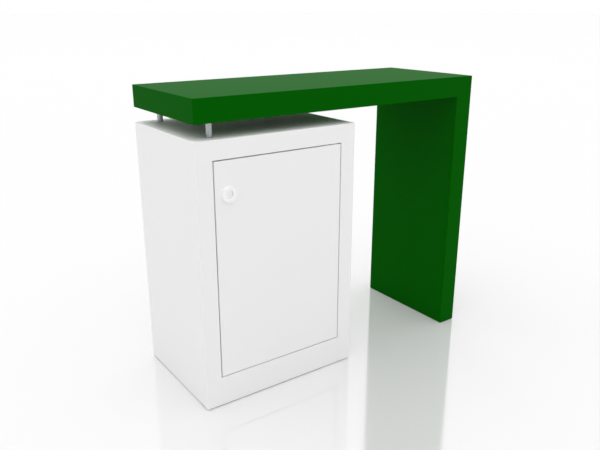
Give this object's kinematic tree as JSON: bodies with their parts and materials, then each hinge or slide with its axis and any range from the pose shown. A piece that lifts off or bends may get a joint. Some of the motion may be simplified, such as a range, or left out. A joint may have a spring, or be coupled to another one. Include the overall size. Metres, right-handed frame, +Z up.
{
  "type": "exhibition counter",
  "caption": "Reception counter with a lockable white cabinet and a green countertop that stands off it on short posts and turns down into a leg.",
  "frame": {"origin": "on the floor, under the middle of the whole counter's bounding box, lock rosette included", "axes": "+X along the counter from the cabinet to the leg, +Y from the door side to the back, +Z up"},
  "size_m": [1.175, 0.458, 1.025],
  "materials": {
    "green_lacquer": "gloss lacquer on board",
    "white_lacquer": "satin lacquer on board",
    "raw_board": "bare fibreboard",
    "birch": "bare birch",
    "brushed_steel": "brushed",
    "zinc_steel": "zinc plated",
    "brass": "plain",
    "satin_chrome": "satin",
    "white_plastic": "smooth",
    "grey_nylon": "matt"
  },
  "bodies": {
    "counter": {"counter_front_fascia": "green_lacquer", "counter_back_fascia": "green_lacquer", "counter_top_skin": "green_lacquer", "counter_left_cap": "green_lacquer", "leg_inner_skin": "green_lacquer", "leg_outer_skin": "green_lacquer", "leg_foot_rail": "green_lacquer", "counter_underside_skin": "green_lacquer", "counter_post_rail": "birch", "counter_rib_1": "raw_board", "counter_rib_2": "raw_board", "counter_corner_block": "birch", "leg_rib_1": "raw_board", "leg_rib_2": "raw_board", "front_post": "brushed_steel", "front_post_washer": "zinc_steel", "front_post_bolt": "zinc_steel", "front_post_insert": "brass", "front_left_glide": "grey_nylon", "front_right_glide": "grey_nylon", "front_leg_glide": "grey_nylon", "front_left_shelf_pin": "zinc_steel", "front_right_shelf_pin": "zinc_steel", "back_post": "brushed_steel", "back_post_washer": "zinc_steel", "back_post_bolt": "zinc_steel", "back_post_insert": "brass", "back_left_glide": "grey_nylon", "back_right_glide": "grey_nylon", "back_leg_glide": "grey_nylon", "back_left_shelf_pin": "zinc_steel", "back_right_shelf_pin": "zinc_steel", "cabinet_front_frame": "white_lacquer", "cabinet_left_side": "white_lacquer", "cabinet_right_side": "white_lacquer", "cabinet_back": "white_lacquer", "cabinet_top": "white_lacquer", "cabinet_floor": "white_lacquer", "cabinet_shelf": "white_lacquer", "upper_door_stop": "white_plastic", "lower_door_stop": "white_plastic", "lock_strike": "zinc_steel", "top_hinge_frame_leaf": "satin_chrome", "top_hinge_washer": "brass", "bottom_hinge_frame_leaf": "satin_chrome", "bottom_hinge_washer": "brass"},
    "door": {"door_panel": "white_lacquer", "top_hinge_door_leaf": "satin_chrome", "bottom_hinge_door_leaf": "satin_chrome", "lock_rosette": "white_plastic", "lock_barrel": "satin_chrome", "lock_nut": "zinc_steel"},
    "lock_core": {"lock_plug": "satin_chrome", "lock_cam": "zinc_steel", "lock_cam_screw": "zinc_steel"}
  },
  "joints": [
    {"name": "door_swing", "type": "hinge", "parent": "counter", "child": "door", "pos_m": [-0.0655, -0.212, 0.47175], "axis": [0, 0, 1], "range_deg": [0, 120]},
    {"name": "lock_turn", "type": "hinge", "parent": "door", "child": "lock_core", "pos_m": [-0.4805, -0.221, 0.729], "axis": [0, 1, 0], "range_deg": [0, 90]}
  ]
}
